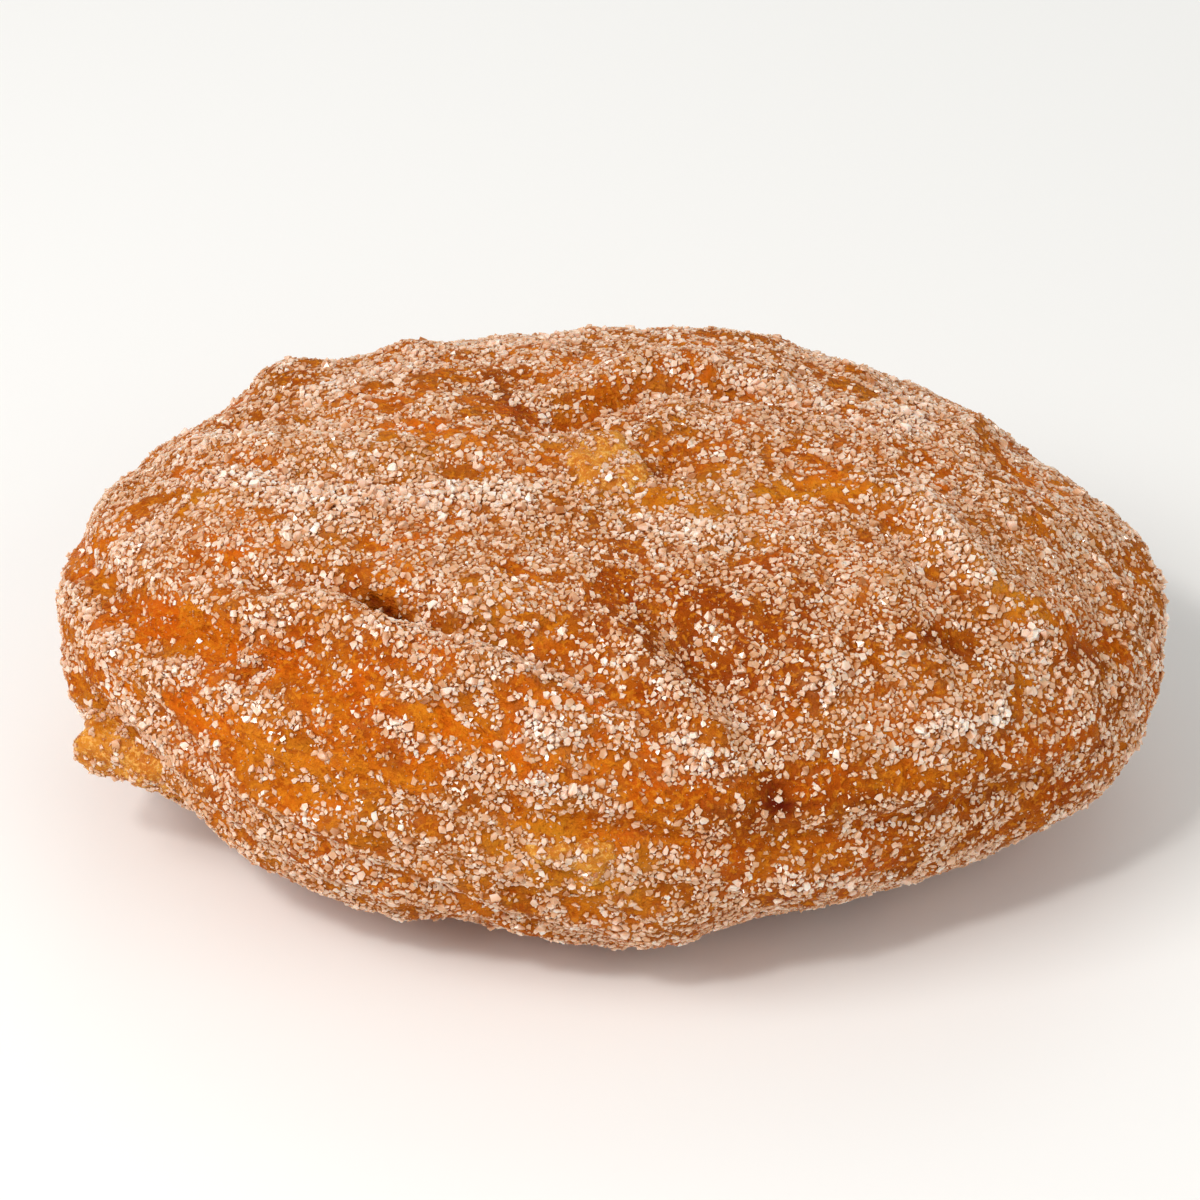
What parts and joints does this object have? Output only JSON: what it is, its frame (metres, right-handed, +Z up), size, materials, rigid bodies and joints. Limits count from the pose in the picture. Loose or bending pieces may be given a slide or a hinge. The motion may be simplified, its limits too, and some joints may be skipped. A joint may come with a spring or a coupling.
{
  "type": "apple fritter",
  "caption": "Oval apple fritter of folded, fried dough with a creased amber crust, diced apple showing at the surface and a coarse sugar coat.",
  "frame": {"origin": "middle of the fritter's box, on the surface that it rests on", "axes": "+X along the fritter's length to the right of the viewer, +Y away from the viewer, +Z up"},
  "size_m": [0.104, 0.0764, 0.0362],
  "materials": {
    "crust": "fried dough crust, amber with browner creases, slightly oily sheen",
    "apple": "cooked apple flesh, golden, moist and slightly translucent",
    "sugar": "coarse granulated sugar, translucent cream crystals with bright glints"
  },
  "bodies": {
    "root": {"dough": "crust", "apple_chunk_top": "apple", "apple_chunk_side": "apple", "apple_chunk_front": "apple"}
  },
  "joints": []
}
